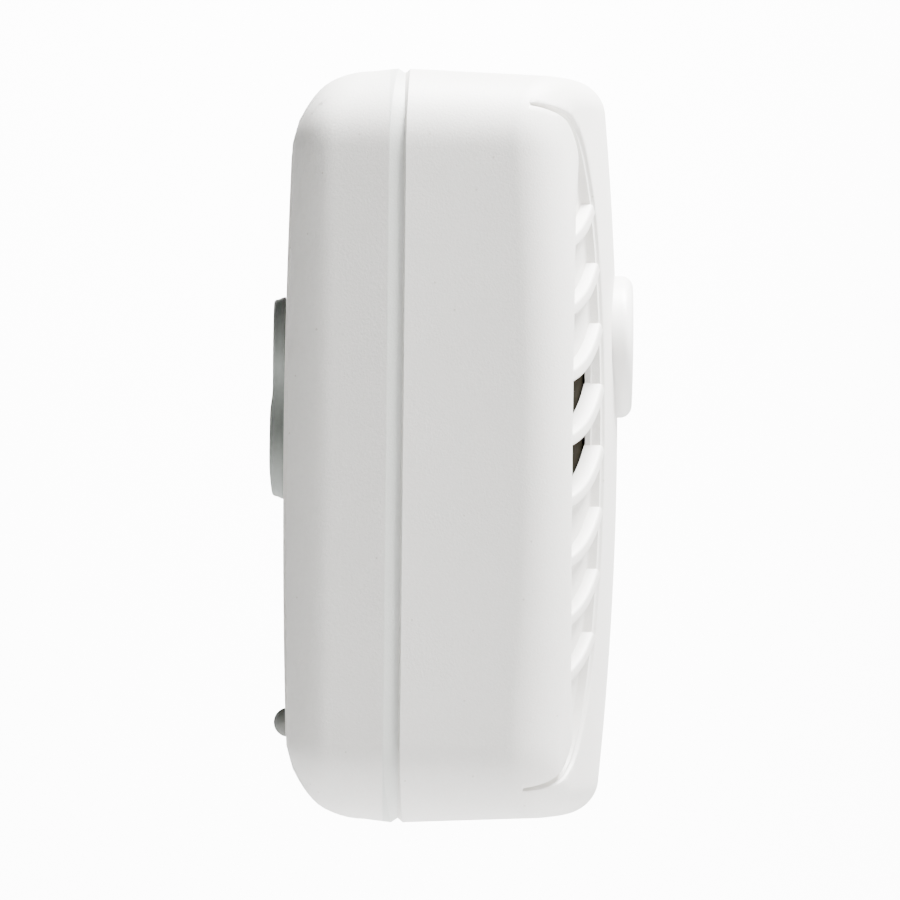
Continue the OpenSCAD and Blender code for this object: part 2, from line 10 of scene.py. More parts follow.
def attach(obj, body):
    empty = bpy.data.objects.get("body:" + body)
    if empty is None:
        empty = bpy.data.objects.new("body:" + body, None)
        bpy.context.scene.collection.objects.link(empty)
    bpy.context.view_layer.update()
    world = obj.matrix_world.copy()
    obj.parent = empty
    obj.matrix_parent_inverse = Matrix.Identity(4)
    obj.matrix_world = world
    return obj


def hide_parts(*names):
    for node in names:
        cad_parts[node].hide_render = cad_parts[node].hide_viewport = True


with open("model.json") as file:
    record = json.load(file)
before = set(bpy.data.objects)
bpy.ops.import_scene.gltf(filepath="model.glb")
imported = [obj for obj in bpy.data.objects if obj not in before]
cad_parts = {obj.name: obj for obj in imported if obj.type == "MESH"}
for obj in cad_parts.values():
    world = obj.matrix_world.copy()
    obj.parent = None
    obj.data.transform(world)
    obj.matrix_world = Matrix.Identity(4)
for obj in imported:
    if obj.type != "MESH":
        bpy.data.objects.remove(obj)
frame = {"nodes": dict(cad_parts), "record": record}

random.seed(7)
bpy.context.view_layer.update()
MM = 0.001

# ---- Case surface, in millimetres about the case's centre (as the CAD's) ----------------
# Pairs are (front half, rear half). "half" is 0 for the front shell and 1 for the rear one.
CZ = -7.5                                   # height of the case's centre in the frame
W, H, D = 76.0, 120.0, 56.1                 # width, height, depth from the wall to the front
SEAM, BACK = 21.4, 2.65                     # distance of the seam and of the back from the wall
WALL = 2.8                                  # thickness of the shells
CR = 13.0                                   # corner radius seen from the front
CROWN_X, CROWN_Z = 70.0, 580.0              # radii of the front's crown
DRAFT = (0.9, 0.5)
ROUND_SIDE, ROUND_END = (6.0, 8.0), (5.2, 13.4)   # rounding beside the sides and the ends
RIM_SIDE, RIM_END, RIM_D = (0.3, 2.4), (0.8, 1.1), 0.7   # chamfer at the seam


def crown(x, z):
    return -D + x * x / (2 * CROWN_X) + z * z / (2 * CROWN_Z)


def stations(arc=14, side=22):
    """places round the outline: (corner, angle within it, share of the side after it)"""
    out = []
    for k in range(4):
        out += [(k, 90.0 * i / arc, 0.0) for i in range(arc + 1)]
        out += [(k, 90.0, i / side) for i in range(1, side)]
    return out


def corner_point(k, ang, inset):
    r = max(CR - inset, 0.4)
    a, b = W / 2 - inset - r, H / 2 - inset - r
    sx, sz = (1 if k in (0, 3) else -1), (1 if k < 2 else -1)
    t = math.radians(90 * k + ang)
    return np.array([sx * a + r * math.cos(t), sz * b + r * math.sin(t)])


def outline_point(s, inset):
    p, q = corner_point(s[0], s[1], inset), corner_point((s[0] + 1) % 4, 0, inset)
    return p + (q - p) * s[2]


def mix(a, b, half, s):
    """the half's value at a station: a beside the sides, b beside the ends"""
    e = math.sin(math.radians(90 * s[0] + s[1])) ** 2
    return a[half] + (b[half] - a[half]) * e


def skin_rings(half, t, st, rounds, caps, mouth=5.0):
    """rings of (x, z, y) from the seam to the hub, of the skin inset by t"""
    inward = 1 if half == 0 else -1
    face = (lambda p: crown(p[0], p[1])) if half == 0 else (lambda p: -BACK)
    rings = []
    if t > 0:
        rings.append([(*outline_point(s, t), -SEAM + inward * mouth) for s in st])
    else:
        rings.append([(*outline_point(s, RIM_D), -SEAM) for s in st])
        rims = [mix(RIM_SIDE, RIM_END, half, s) for s in st]
        chamfer = ((0.05, RIM_D * 0.95), (0.5, RIM_D * 0.5), (0.95, RIM_D * 0.05), (1.0, 0.006))
        for share, inset in chamfer:
            rings.append([(*outline_point(s, inset), -SEAM - inward * rim * share)
                          for s, rim in zip(st, rims)])
        rings.append([(*outline_point(s, 0.03 * DRAFT[half]), -SEAM - inward * (rim + 0.12))
                      for s, rim in zip(st, rims)])
    for i in range(rounds + 1):
        a = math.radians(90.0 * i / rounds)
        ring = []
        for s in st:
            r = mix(ROUND_SIDE, ROUND_END, half, s) - t
            p = outline_point(s, t + DRAFT[half] + r * (1 - math.cos(a)))
            ring.append((p[0], p[1], face(p) + inward * (t + r * (1 - math.sin(a)))))
        rings.append(ring)
    for i in range(1, caps + 1):
        ring = []
        for s in st:
            start = DRAFT[half] + mix(ROUND_SIDE, ROUND_END, half, s)
            p = outline_point(s, start + (W / 2 - 0.5 - start) * (i / caps))
            ring.append((p[0], p[1], face(p) + inward * t))
        rings.append(ring)
    hub = (0.0, 0.0, face((0, 0)) + inward * t)
    return rings, hub


def pydata(name, verts, faces):
    """verts in mm as (x, y, z) in the row frame"""
    me = bpy.data.meshes.new(name)
    me.from_pydata([(v[0] * MM, v[1] * MM, v[2] * MM) for v in verts], [], faces)
    me.update()
    o = bpy.data.objects.new(name, me)
    bpy.context.scene.collection.objects.link(o)
    bm = bmesh.new()
    bm.from_mesh(me)
    bmesh.ops.remove_doubles(bm, verts=bm.verts, dist=1e-7)
    bmesh.ops.recalc_face_normals(bm, faces=bm.faces)
    bm.to_mesh(me)
    bm.free()
    return o


def skin(name, half, t, fine=True):
    """closed solid under one half's skin, inset by t"""
    st = stations() if fine else stations(8, 10)
    rings, hub = skin_rings(half, t, st, 16 if fine else 6, 18 if fine else 6)
    n = len(st)
    verts = [(p[0], p[2], p[1] + CZ) for r in rings for p in r]
    faces = []
    for j in range(len(rings) - 1):
        for i in range(n):
            m = (i + 1) % n
            faces.append((j * n + i, (j + 1) * n + i, (j + 1) * n + m, j * n + m))
    verts.append((hub[0], hub[2], hub[1] + CZ))
    h = len(verts) - 1
    faces += [(h, h - n + (i + 1) % n, h - n + i) for i in range(n)]
    verts.append((0, rings[0][0][2], CZ))
    faces += [(h + 1, i, (i + 1) % n) for i in range(n)]
    return pydata(name, verts, faces)


def front_y(x, z, t=0.0, half=0):
    """depth of the skin, inset by t, over a point seen from the front (arrays)"""
    x, z = np.asarray(x, float), np.asarray(z, float)
    ax, az = np.abs(x), np.abs(z)
    cx, cz = W / 2 - CR, H / 2 - CR
    dx, dz = ax - cx, az - cz
    corner = (dx > 0) & (dz > 0)
    d = np.minimum(W / 2 - ax, H / 2 - az)
    rad = np.hypot(np.maximum(dx, 0), np.maximum(dz, 0))
    d = np.where(corner, CR - rad, d)
    beside = np.where(W / 2 - ax < H / 2 - az, 0.0, 1.0)
    e = np.where(corner, (np.maximum(dz, 0) / np.maximum(rad, 1e-9)) ** 2, beside)
    r = ROUND_SIDE[half] + (ROUND_END[half] - ROUND_SIDE[half]) * e - t
    k = np.clip(r - (d - t - DRAFT[half]), 0, None)
    k = np.minimum(k, r)
    inward = 1 if half == 0 else -1
    base = crown(x, z) if half == 0 else np.full_like(x, -BACK)
    return base + inward * (t + r - np.sqrt(np.maximum(r * r - k * k, 0)))


# ---- Mesh helpers -----------------------------------------------------------------------
def boolean(o, cutters, op="DIFFERENCE", keep=False):
    for c in cutters if isinstance(cutters, (list, tuple)) else [cutters]:
        m = o.modifiers.new("b", "BOOLEAN")
        m.operation, m.object, m.solver = op, c, "MANIFOLD"
        dg = bpy.context.evaluated_depsgraph_get()
        me = bpy.data.meshes.new_from_object(o.evaluated_get(dg))
        o.modifiers.clear()
        o.data = me
        if not keep:
            bpy.data.objects.remove(c)
    return o


def drop(*objs):
    for o in objs:
        bpy.data.objects.remove(o)


def edit(o, change):
    """runs change(bm) on the object's mesh"""
    bm = bmesh.new()
    bm.from_mesh(o.data)
    change(bm)
    bm.to_mesh(o.data)
    bm.free()


def smooth(o, angle=38.0):
    lim = math.radians(angle)

    def change(bm):
        bmesh.ops.remove_doubles(bm, verts=bm.verts, dist=2e-6)
        for f in bm.faces:
            f.smooth = True
        for e in bm.edges:
            e.smooth = len(e.link_faces) == 2 and e.calc_face_angle(0) < lim

    edit(o, change)
    return o


def lathe(name, profile, at, steps=96, axis="Y"):
    """profile: (radius, position along the axis); revolved about an axis through at"""
    verts, faces = [], []
    n = len(profile)
    for k in range(steps):
        a = 2 * math.pi * k / steps
        for r, y in profile:
            c, s = r * math.cos(a), r * math.sin(a)
            p = {"Y": (c, y, s), "Z": (c, s, y), "X": (y, c, s)}[axis]
            verts.append((p[0] + at[0], p[1] + at[1], p[2] + at[2]))
    for k in range(steps):
        m = (k + 1) % steps
        for j in range(n - 1):
            faces.append((k * n + j, m * n + j, m * n + j + 1, k * n + j + 1))
    return pydata_clean(name, verts, faces)


def pydata_clean(name, verts, faces):
    """pydata without degenerate faces and with open ends closed"""
    def change(bm):
        bmesh.ops.dissolve_degenerate(bm, dist=1e-7, edges=bm.edges)
        bmesh.ops.holes_fill(bm, edges=[e for e in bm.edges if e.is_boundary], sides=0)
        bmesh.ops.recalc_face_normals(bm, faces=bm.faces)

    o = pydata(name, verts, faces)
    edit(o, change)
    return o


def rounded(r, a, b, edge=0.3, steps=4):
    """profile of a solid cylinder from a to b with rounded rims"""
    s = 1 if b > a else -1
    pts = [(0, a)]
    for i in range(steps + 1):
        t = math.pi / 2 * i / steps
        pts.append((r - edge + edge * math.sin(t), a + s * edge * (1 - math.cos(t))))
    for i in range(steps + 1):
        t = math.pi / 2 * i / steps
        pts.append((r - edge + edge * math.cos(t), b - s * edge * (1 - math.sin(t))))
    pts.append((0, b))
    return pts


def plain(r, a, b):
    """profile of a solid cylinder from a to b"""
    return [(0, a), (r, a), (r, b), (0, b)]


def rod(x, z, back, front, d, edge=0.0, steps=64):
    prof = rounded(d / 2, back, front, edge) if edge > 0 else plain(d / 2, back, front)
    return lathe("rod", prof, (x, 0, z + CZ), steps)


def block(lo, hi, edge=0.0, seg=3):
    def change(bm):
        bmesh.ops.bevel(bm, geom=list(bm.edges), offset=edge * MM, segments=seg, profile=0.5,
                        affect="EDGES")

    (x0, y0, z0), (x1, y1, z1) = lo, hi
    v = [(x, y, z + CZ) for z in (z0, z1) for x, y in ((x0, y0), (x1, y0), (x1, y1), (x0, y1))]
    f = [(0, 3, 2, 1), (4, 5, 6, 7), (0, 1, 5, 4), (1, 2, 6, 5), (2, 3, 7, 6), (3, 0, 4, 7)]
    o = pydata("block", v, f)
    if edge > 0:
        edit(o, change)
    return o


def turned(o, x, z, angle):
    """turns a block made about the case's centre, about the depth axis, and moves it to (x, z)"""
    home = Matrix.Translation((0, 0, -CZ * MM))
    place = Matrix.Translation((x * MM, 0, z * MM + CZ * MM))
    o.data.transform(place @ Matrix.Rotation(math.radians(angle), 4, "Y") @ home)
    return o


def prism(name, pts, back, front):
    """pts (x, z) about the case's centre, extruded in depth"""
    n = len(pts)
    v = [(p[0], back, p[1] + CZ) for p in pts] + [(p[0], front, p[1] + CZ) for p in pts]
    f = [tuple(range(n)), tuple(range(2 * n - 1, n - 1, -1))]
    f += [(i, n + i, n + (i + 1) % n, (i + 1) % n) for i in range(n)]
    return pydata(name, v, f)


def join(name, objs):
    """one mesh from several, without a boolean"""
    bm = bmesh.new()
    for o in objs:
        bm.from_mesh(o.data)
    me = bpy.data.meshes.new(name)
    bm.to_mesh(me)
    bm.free()
    out = bpy.data.objects.new(name, me)
    bpy.context.scene.collection.objects.link(out)
    drop(*objs)
    return out


# ---- Grips, recesses and louvres ---------------------------------------------------------
def skin_cutter(name, x, z, depth, half, side):
    """Cutter from the skin inset by `depth` at each point of a grid to just outside the skin"""
    outside, overlap = 3.0, 0.03
    inward = 1 if half == 0 else -1
    n, m = x.shape
    surface = front_y(x, z, 0.0, half)
    low = surface.copy()
    for i, j in np.argwhere(depth > 0):
        low[i, j] = float(front_y(x[i, j], z[i, j], depth[i, j], half))
    low = low - inward * np.where(depth <= 1e-6, overlap, 0.0)
    verts, faces = [], []
    for layer in (low, surface - inward * outside):
        verts += [(side * x[i, j], layer[i, j], z[i, j] + CZ) for i, j in np.ndindex(n, m)]

    def vid(layer, i, j):
        return layer * n * m + i * m + j

    for i in range(n - 1):
        for j in range(m - 1):
            faces.append((vid(0, i, j), vid(0, i, j + 1), vid(0, i + 1, j + 1), vid(0, i + 1, j)))
            faces.append((vid(1, i, j), vid(1, i + 1, j), vid(1, i + 1, j + 1), vid(1, i, j + 1)))
        for j in (0, m - 1):
            faces.append((vid(0, i, j), vid(0, i + 1, j), vid(1, i + 1, j), vid(1, i, j)))
    for j in range(m - 1):
        for i in (0, n - 1):
            faces.append((vid(0, i, j), vid(0, i, j + 1), vid(1, i, j + 1), vid(1, i, j)))
    return pydata(name, verts, faces)


def edge_profile(depth, flare, fillet, foot):
    """(distance inside the edge, depth): a rounded rim outside the edge, then a rounded foot"""
    rim = [math.pi / 8 * i for i in range(5)]
    heel = [math.pi / 10 * i for i in range(1, 6)]
    points = [(-flare + flare * math.sin(a), flare * (1 - math.cos(a))) for a in rim]
    return points + [(foot + fillet * (1 - math.cos(a)), depth - fillet + fillet * math.sin(a))
                     for a in heel]


def crescent_x(inner_x, outer_x, tx, tz, z):
    """a crescent's inner and outer edge at height z; its tips are at (tx, tz) and (tx, -tz)"""
    ri = ((tx - inner_x) ** 2 + tz * tz) / (2 * (tx - inner_x))
    ro = ((outer_x - tx) ** 2 + tz * tz) / (2 * (outer_x - tx))
    xi = inner_x + ri - np.sqrt(ri * ri - z * z)
    xo = outer_x - ro + np.sqrt(ro * ro - z * z)
    return xi, xo


def crescent_cut(name, shape, depth, half, side, flare, fillet):
    """Cutter between two arcs that meet in tips, with a floor `depth` under the skin"""
    rows, floor_n, full_depth_from = 150, 18, 0.5
    tz = shape[3]
    prof = edge_profile(depth, flare, fillet, 0.08)
    zs = tz * np.sin(np.linspace(-math.pi / 2, math.pi / 2, rows + 1)) * 0.9985
    grid = []
    for z in zs:
        xi, xo = crescent_x(*shape, z)
        half_w = (xo - xi) / 2
        # where the crescent narrows, the profile can't reach full depth
        reach = min(1.0, half_w / full_depth_from)
        near = [(min(q, half_w * 0.98), d * (reach if d > flare else 1)) for q, d in prof]
        x0, x1, floor_d = xi + near[-1][0], xo - near[-1][0], near[-1][1]
        row = [(xi + q, d) for q, d in near]
        row += [(x0 + (x1 - x0) * k / floor_n, floor_d) for k in range(1, floor_n)]
        row += [(xo - q, d) for q, d in reversed(near)]
        grid.append(row)
    grid = np.array(grid)
    x, d = grid[..., 0], grid[..., 1]
    return skin_cutter(name, x, np.repeat(zs[:, None], x.shape[1], 1), d, half, side)


# (x, z) along the upper half of the recess's edges, from mid-height to the pointed tail
INNER_EDGE = [
    (18.7, 0), (19, 16), (19.9, 29), (21, 37), (22.5, 42.6),
    (24.9, 48.3), (27.6, 51.5), (30.6, 53.3), (34.2, 54.5),
]
OUTER_EDGE = [
    (32.2, 0), (31.8, 15), (30.8, 26.6), (29.4, 36.5), (27.8, 42.5),
    (27, 46.8), (28.8, 50.2), (31.2, 52.3), (34.4, 54.1),
]
LEDGE_W, LEDGE_D, RECESS_D = 0.9, 0.5, 2.0


def spline(pts, steps):
    """Catmull-Rom curve through the points, with the given number of steps for each span"""
    p = np.array(pts, float)
    out = []
    for i in range(len(p) - 1):
        a, b, c, d = p[max(i - 1, 0)], p[i], p[i + 1], p[min(i + 2, len(p) - 1)]
        square, cube = 2 * a - 5 * b + 4 * c - d, 3 * b - a - 3 * c + d
        for k in range(steps + (i == len(p) - 2)):
            t = k / steps
            out.append(0.5 * (2 * b + (c - a) * t + square * t * t + cube * t ** 3))
    return np.array(out)


def both_ends(edge):
    """the edge's mirror image below mid-height, then the edge"""
    return [(x, -z) for x, z in edge[:0:-1]] + list(edge)


EDGE_IN, EDGE_OUT = spline(both_ends(INNER_EDGE), 14), spline(both_ends(OUTER_EDGE), 14)


def flank(start, direction, profile, k, flare):
    """points and depths of a profile laid inwards from an edge, squeezed by k below its rim"""
    points = [start + direction * (q if q < 0 else q * k) for q, _ in profile]
    depths = [d if d <= flare else flare + (d - flare) * (0.08 + 0.92 * k) for _, d in profile]
    return points, depths


def leaf_cut(name, depth, shift, flare, outer_flare, fillet, side):
    """Cutter for the recess: rows join paired points of its edges, the floor follows the crown"""
    foot, floor_n = 0.06, 16
    # the inner edge's shift dies out along the tail
    fade = np.clip((55.4 - np.abs(EDGE_IN[:, 1])) / 5, 0.1, 1.0)
    starts = EDGE_IN - np.stack([shift * fade, np.zeros_like(fade)], 1)
    inner = edge_profile(depth, flare, fillet, foot)
    outer = edge_profile(depth, outer_flare, fillet, foot)
    points, depths = [], []
    for a, b in zip(starts, EDGE_OUT):
        length = float(np.linalg.norm(b - a))
        u = (b - a) / length
        room = length / 2 * 0.98
        k = min(1.0, room / (foot + fillet + 0.05))
        near, near_d = flank(a, u, inner, k, flare)
        far, far_d = flank(b, -u, outer, k, outer_flare)
        across = far[-1] - near[-1]
        floor = [near[-1] + across * q / floor_n for q in range(1, floor_n)]
        points.append(near + floor + far[::-1])
        depths.append(near_d + [near_d[-1]] * len(floor) + far_d[::-1])
    points = np.array(points)
    return skin_cutter(name, points[..., 0], points[..., 1], np.array(depths), 0, side)


def edge_x(z):
    """inner and outer edge of the recess at height z, within its broad part"""
    k = np.abs(EDGE_IN[:, 1]) <= 47.5
    q = np.abs(EDGE_OUT[:, 1]) <= 47.3
    return np.interp(z, EDGE_IN[k, 1], EDGE_IN[k, 0]), np.interp(z, EDGE_OUT[q, 1], EDGE_OUT[q, 0])


# Louvres: arcs about (L_CX, louvre_z), which reach x = L_END at the outer edge
L_CX, L_R, L_T, L_END = 38.6, 26.0, 2.0, 32.2
L_OR = L_R + L_T
L_HANG = math.sqrt(L_OR ** 2 - (L_CX - L_END) ** 2)
LOUVRES, OPEN_GAPS, GAP_X = 8, (2, 3), (19.1, 31.2)


def louvre_z(i):
    """height of the arc's centre of louvre i, counted from the top"""
    return 31.1 - 10.6 * i + 0.1 * i * i + L_HANG


def louvre(i, side, deep):
    """A blade swept along its arc, with rounded front edges that follow the crown"""
    cz, mid_r, half_t = louvre_z(i), L_R + L_T / 2, L_T / 2
    edge_r, sunk, steps = 0.42, 0.06, 70

    def on_arc(a, off=0.0):
        return L_CX + (mid_r + off) * math.cos(a), cz + (mid_r + off) * math.sin(a)

    # from where the arc meets the band to just under the outer edge
    swept = []
    for a in np.radians(np.linspace(180, 300, 1200)):
        x, z = on_arc(a)
        if abs(z) < 46:
            xi, xo = edge_x(z)
            if xi - 0.35 <= x <= xo + 0.3:
                swept.append(a)
    a0, a1 = min(swept), max(swept)
    turns = [math.pi / 2 * k / 5 for k in range(6)]
    rim = [(half_t - edge_r * (1 - math.cos(b)), edge_r * (1 - math.sin(b)) + sunk) for b in turns]
    section = [(-half_t, deep)] + [(-off, d) for off, d in rim] + rim[::-1] + [(half_t, deep)]
    n = len(section)
    verts, faces = [], []
    for k in range(steps + 1):
        a = a0 + (a1 - a0) * k / steps
        foot_y = float(front_y(*on_arc(a))) + deep
        for off, d in section:
            x, z = on_arc(a, off)
            y = float(front_y(x, z)) + d if d < deep else foot_y
            verts.append((side * x, y, z + CZ))
    for k in range(steps):
        for j in range(n):
            m = (j + 1) % n
            faces.append((k * n + j, k * n + m, (k + 1) * n + m, (k + 1) * n + j))
    faces.append(tuple(range(n)))
    faces.append(tuple(steps * n + j for j in range(n)))
    return pydata("louvre", verts, faces)


def gap_prism(i, side):
    """The open gap between louvre i and the next one"""
    def arc_z(k, r, x):
        return louvre_z(k) - math.sqrt(r * r - (L_CX - x) ** 2)

    xs = np.linspace(*GAP_X, 24)
    low = [(x, arc_z(i + 1, L_R, x)) for x in xs]
    high = [(x, arc_z(i, L_OR, x)) for x in xs[::-1]]
    return prism("gap", [(side * x, z) for x, z in low + high], -36, -D - 2)


# ---- Materials --------------------------------------------------------------------------
def node(nt, kind, values=None, **settings):
    """a new node with its settings, and its inputs' values by name or index"""
    n = nt.nodes.new(kind)
    for key, value in settings.items():
        setattr(n, key, value)
    for key, value in (values or {}).items():
        n.inputs[key].default_value = value
    return n


def existing(nt, kind):
    return next(n for n in nt.nodes if n.type == kind)


def noise(nt, vector, scale, detail, roughness=0.5):
    n = node(nt, "ShaderNodeTexNoise", {"Scale": scale, "Detail": detail, "Roughness": roughness})
    nt.links.new(vector, n.inputs["Vector"])
    return n.outputs["Fac"]


def remap(nt, value, from_min=0.0, from_max=1.0, to_min=0.0, to_max=1.0):
    n = node(nt, "ShaderNodeMapRange", {
        "From Min": from_min, "From Max": from_max, "To Min": to_min, "To Max": to_max})
    nt.links.new(value, n.inputs["Value"])
    return n.outputs["Result"]


def blend(nt, share, a, b, mode="MIX"):
    """mix of two colours; each argument is a socket or a value"""
    n = node(nt, "ShaderNodeMix", data_type="RGBA", blend_type=mode)
    for index, value in ((0, share), (6, a), (7, b)):
        if isinstance(value, bpy.types.NodeSocket):
            nt.links.new(value, n.inputs[index])
        else:
            n.inputs[index].default_value = value
    return n.outputs[2]


def bump(nt, objects, grain, scale, brushed):
    """normal with a fine grain, drawn out along one axis on brushed metal"""
    if brushed:
        stretch = node(nt, "ShaderNodeMapping", {"Scale": brushed})
        nt.links.new(objects, stretch.inputs["Vector"])
        objects = stretch.outputs["Vector"]
    b = node(nt, "ShaderNodeBump", {"Strength": grain, "Distance": 0.00006})
    nt.links.new(noise(nt, objects, scale, 4.0, 0.55), b.inputs["Height"])
    return b.outputs["Normal"]


def material(name, base, rough, grain, grain_scale=2600.0, speck=0.0, metal=0.0, sub=0.0, tint=None,
             coat=0.0, transmission=0.0, brushed=None, mottling=0.03, ior=1.5, spec=0.5):
    m = bpy.data.materials.new(name)
    m.use_nodes = True
    nt = m.node_tree
    bsdf = existing(nt, "BSDF_PRINCIPLED")
    objects = node(nt, "ShaderNodeTexCoord").outputs["Object"]
    # broad, faint variation of tone
    broad = noise(nt, objects, 38.0, 5.0, 0.6)
    tone = remap(nt, broad, to_min=1.0 - mottling, to_max=1.0 + mottling * 0.4)
    colour = blend(nt, 1.0, (*base, 1), tone, "MULTIPLY")
    if tint is not None:
        # fine grain of a second tone
        fine = remap(nt, noise(nt, objects, grain_scale * 0.6, 3.0), 0.35, 0.7, 0.0, 0.35)
        colour = blend(nt, fine, colour, (*tint, 1))
    if speck:
        cells = node(nt, "ShaderNodeTexVoronoi", {"Scale": 240.0})
        nt.links.new(objects, cells.inputs["Vector"])
        spots = remap(nt, cells.outputs["Distance"], 0.035, 0.055, speck, 0.0)
        colour = blend(nt, spots, colour, (0.30, 0.27, 0.22, 1))
    nt.links.new(colour, bsdf.inputs["Base Color"])
    # roughness varies with the same broad noise
    sheen = remap(nt, broad, to_min=max(rough - 0.06, 0.02), to_max=min(rough + 0.06, 1.0))
    nt.links.new(sheen, bsdf.inputs["Roughness"])
    nt.links.new(bump(nt, objects, grain, grain_scale, brushed), bsdf.inputs["Normal"])
    values = {"Metallic": metal, "IOR": ior, "Specular IOR Level": spec}
    if coat:
        values.update({"Coat Weight": coat, "Coat Roughness": 0.12})
    if sub:
        values.update({"Subsurface Weight": sub, "Subsurface Radius": (1.0, 0.9, 0.8),
                       "Subsurface Scale": 0.0012})
    if transmission:
        values["Transmission Weight"] = transmission
    for key, value in values.items():
        bsdf.inputs[key].default_value = value
    return m


# (base colour, roughness, strength of the grain), and what else differs from the defaults
LOOKS = {
    "white_plastic": (((0.80, 0.785, 0.755), 0.46, 0.55),
                      dict(tint=(0.72, 0.705, 0.675), speck=0.35, sub=0.06)),
    "button_plastic": (((0.84, 0.83, 0.81), 0.34, 0.12),
                       dict(grain_scale=1400, sub=0.08, mottling=0.015)),
    "grey_plastic": (((0.265, 0.287, 0.27), 0.5, 0.3), dict(tint=(0.22, 0.238, 0.222))),
    "grey_rubber": (((0.165, 0.17, 0.158), 0.55, 0.2),
                    dict(sub=0.05, ior=1.42, tint=(0.20, 0.203, 0.19), spec=0.3)),
    "black_plastic": (((0.014, 0.012, 0.008), 0.8, 0.4),
                      dict(tint=(0.022, 0.018, 0.010), spec=0.04)),
    "clear_plastic": (((0.82, 0.84, 0.85), 0.12, 0.05),
                      dict(transmission=0.7, mottling=0.01, ior=1.49)),
    "steel": (((0.56, 0.56, 0.55), 0.3, 0.3), dict(metal=1.0, brushed=(1, 30, 1), grain_scale=900)),
    "brass": (((0.72, 0.55, 0.26), 0.32, 0.25), dict(metal=1.0, brushed=(1, 1, 25), grain_scale=700)),
    "ceramic": (((0.72, 0.68, 0.58), 0.4, 0.3), dict(tint=(0.62, 0.58, 0.48))),
    "cable_black": (((0.02, 0.02, 0.021), 0.4, 0.2), {}),
    "cable_red": (((0.45, 0.03, 0.025), 0.4, 0.2), {}),
    "laminate": (((0.03, 0.16, 0.06), 0.35, 0.3), dict(tint=(0.02, 0.11, 0.04), coat=0.3)),
    "led_red": (((0.55, 0.03, 0.02), 0.15, 0.05), dict(transmission=0.4)),
    "copper": (((0.62, 0.30, 0.14), 0.3, 0.4), dict(metal=1.0, brushed=(1, 60, 1), grain_scale=500)),
    "ferrite": (((0.05, 0.05, 0.055), 0.55, 0.5), dict(tint=(0.03, 0.03, 0.03))),
    "sleeve_blue": (((0.02, 0.03, 0.13), 0.28, 0.1), dict(coat=0.3)),
    "sleeve_black": (((0.025, 0.025, 0.028), 0.3, 0.15), dict(coat=0.25, tint=(0.05, 0.045, 0.04))),
    "foam": (((0.05, 0.05, 0.052), 0.9, 1.0), dict(tint=(0.02, 0.02, 0.02))),
    "board_blue": (((0.02, 0.07, 0.24), 0.35, 0.3), dict(tint=(0.015, 0.05, 0.18), coat=0.3)),
    "fibre_board": (((0.36, 0.25, 0.13), 0.7, 0.6), dict(tint=(0.25, 0.16, 0.08))),
}
MAT = {name: material(name, *look, **more) for name, (look, more) in LOOKS.items()}


def paint(o, m):
    o.data.materials.clear()
    o.data.materials.append(m)


def finish_piece(o, name, slot_name, body, *nodes):
    o.name = name
    o.data.name = name
    paint(o, MAT[slot_name])
    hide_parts(*nodes)
    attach(o, body)
    return o


for sub in frame["record"]["subparts"]:
    paint(frame["nodes"][sub["node"]], MAT[sub["material_slot"]])


def band(m, near, far, tint, axis="Y"):
    """multiplies the colour by the tint between two positions along an axis"""
    nt, soft = m.node_tree, 0.15
    target = existing(nt, "BSDF_PRINCIPLED").inputs["Base Color"]
    source = target.links[0].from_socket
    split = node(nt, "ShaderNodeSeparateXYZ")
    nt.links.new(node(nt, "ShaderNodeTexCoord").outputs["Object"], split.inputs[0])
    both = node(nt, "ShaderNodeMath", operation="MULTIPLY")
    for k, (a, b) in enumerate(((near - soft, near), (far + soft, far))):
        nt.links.new(remap(nt, split.outputs[axis], a * MM, b * MM), both.inputs[k])
    nt.links.new(blend(nt, both.outputs[0], source, (*tint, 1), "MULTIPLY"), target)


# ---- Front cover ------------------------------------------------------------------------
BZ, BD, BUTTON_GAP = 16.3, 22.9, 0.3        # button: height, diameter, gap round it
LAMP_Z = 36                                 # height of the lamp's window
SCREW_X, SCREW_Z, SCREW_POST_D = 28.5, 48.5, 7
BOARD_X, BOARD_Z, BOARD_POST_D = 26.0, 38.0, 5
BOARD_FRONT = -29.6


def four(x, z):
    """the four places that are symmetric about the case's centre"""
    return [(sx * x, sz * z) for sx in (-1, 1) for sz in (-1, 1)]


